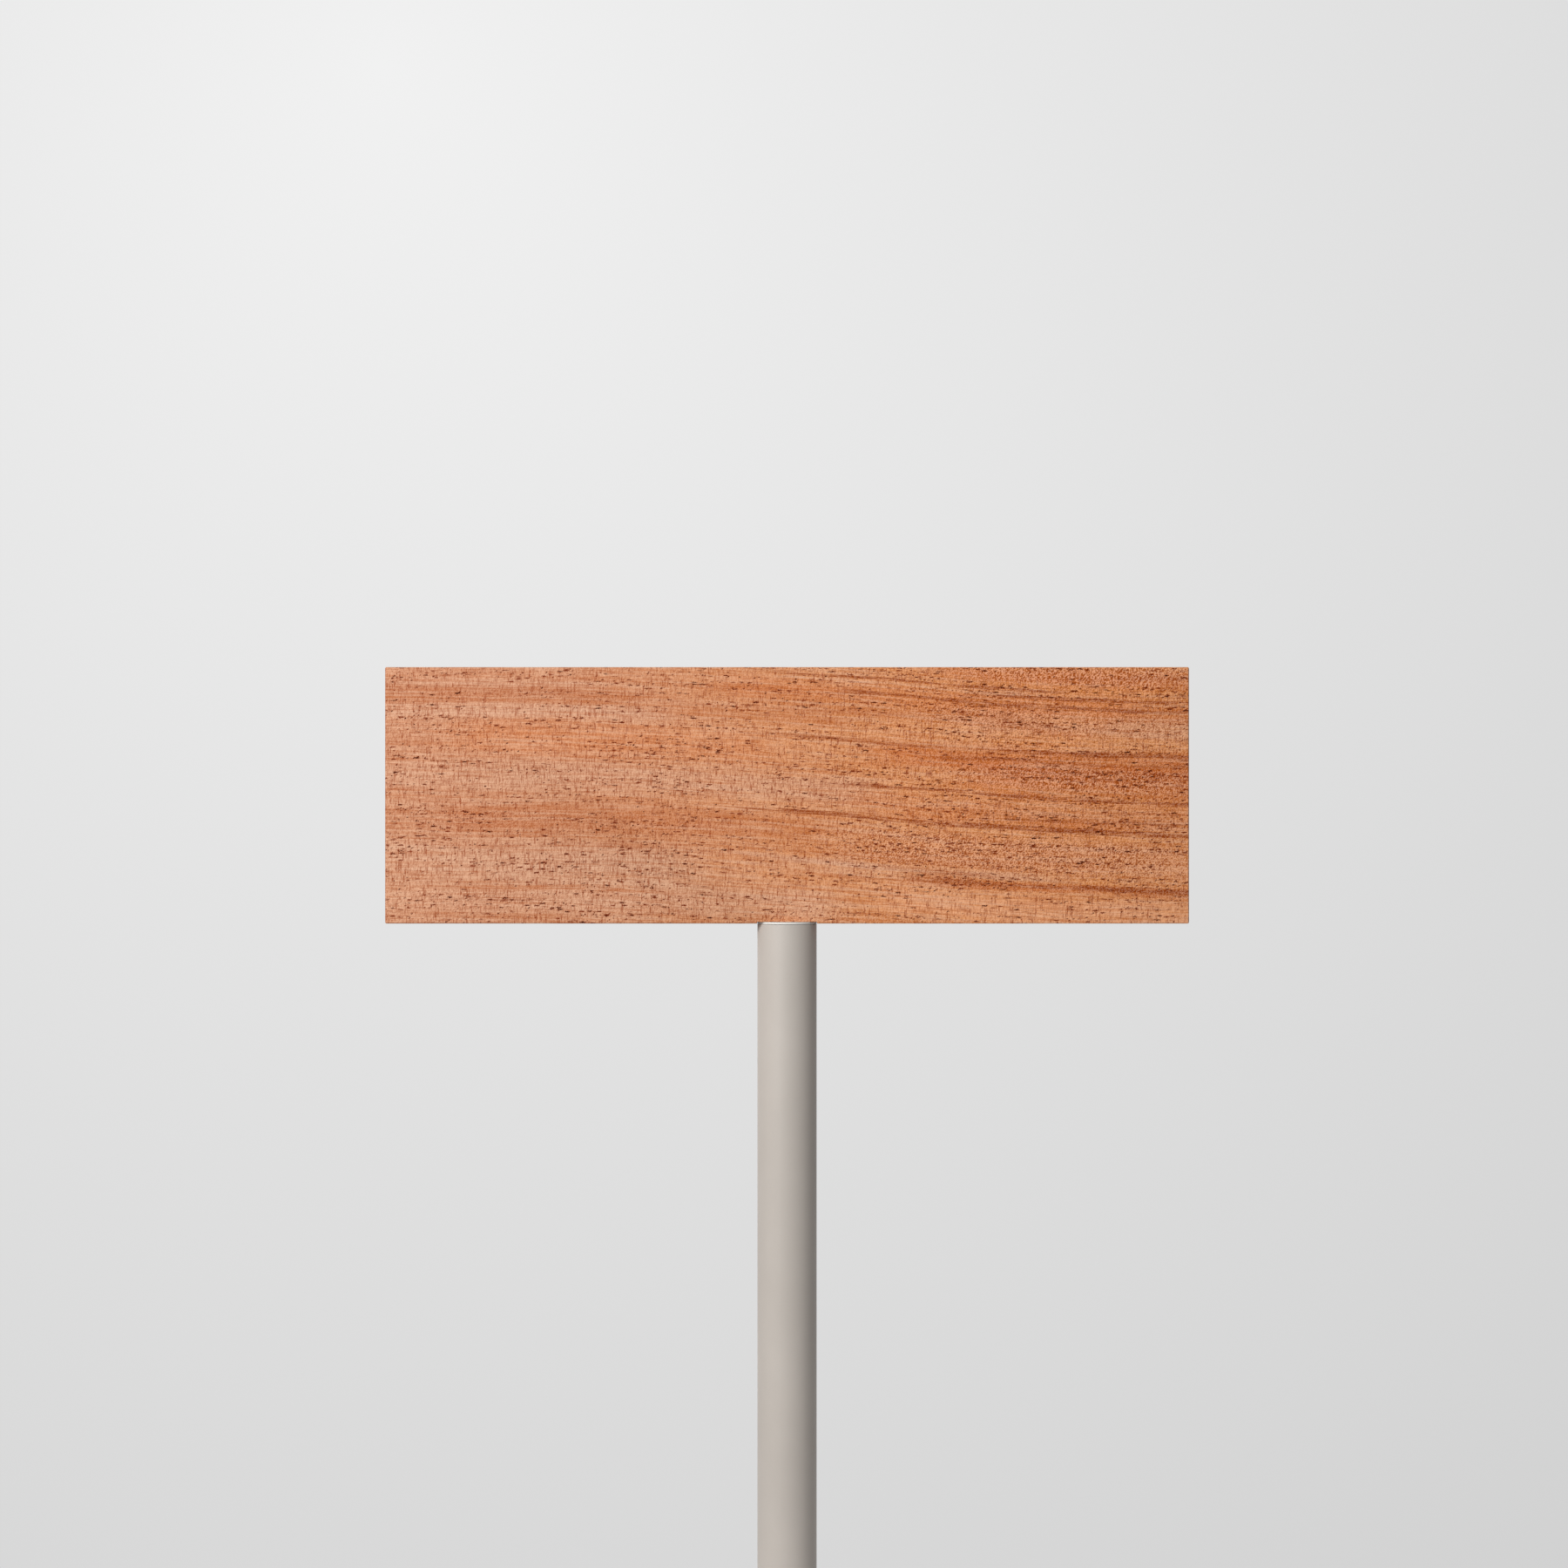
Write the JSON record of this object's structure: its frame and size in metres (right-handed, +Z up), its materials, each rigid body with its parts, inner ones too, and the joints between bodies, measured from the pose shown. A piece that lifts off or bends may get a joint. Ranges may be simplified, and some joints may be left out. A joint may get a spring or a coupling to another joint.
{
  "type": "park interpretation sign",
  "caption": "Post-mounted interpretation sign: a wide plain hardwood board on top of a round powder-coated steel post, held by a flush steel spine behind and a bolted round foot flange.",
  "frame": {"origin": "centre of the foot flange's underside, on the post's axis at ground level", "axes": "+Z up along the post, -Y out of the sign's front face, +X to the right for someone who reads the sign"},
  "size_m": [0.815, 0.2, 1.3],
  "materials": {
    "timber": "oiled red-brown hardwood, satin",
    "powder_coat": "matt warm grey powder coat",
    "stainless": "plain stainless steel",
    "insert": "turned brass",
    "spacer": "pale off-white nylon"
  },
  "bodies": {
    "root": {"sign_board": "timber", "head_spacer": "spacer", "post_tube": "powder_coat", "post_head_plug": "powder_coat", "base_flange": "powder_coat", "base_weld": "powder_coat", "mounting_spine": "powder_coat", "spine_weld": "powder_coat", "anti_cup_bar_left": "powder_coat", "anti_cup_bar_right": "powder_coat", "anchor_stud_1": "stainless", "anchor_stud_2": "stainless", "anchor_stud_3": "stainless", "anchor_stud_4": "stainless", "anchor_washer_1": "stainless", "anchor_washer_2": "stainless", "anchor_washer_3": "stainless", "anchor_washer_4": "stainless", "anchor_nut_1": "stainless", "anchor_nut_2": "stainless", "anchor_nut_3": "stainless", "anchor_nut_4": "stainless", "spine_screw_1": "stainless", "spine_screw_2": "stainless", "spine_screw_3": "stainless", "spine_screw_4": "stainless", "spine_washer_1": "stainless", "spine_washer_2": "stainless", "spine_washer_3": "stainless", "spine_washer_4": "stainless", "board_insert_1": "insert", "board_insert_2": "insert", "board_insert_3": "insert", "board_insert_4": "insert", "bar_screw_left_1": "stainless", "bar_screw_left_2": "stainless", "bar_screw_left_3": "stainless", "bar_screw_right_1": "stainless", "bar_screw_right_2": "stainless", "bar_screw_right_3": "stainless", "bar_washer_left_1": "stainless", "bar_washer_left_2": "stainless", "bar_washer_left_3": "stainless", "bar_washer_right_1": "stainless", "bar_washer_right_2": "stainless", "bar_washer_right_3": "stainless"}
  },
  "joints": []
}
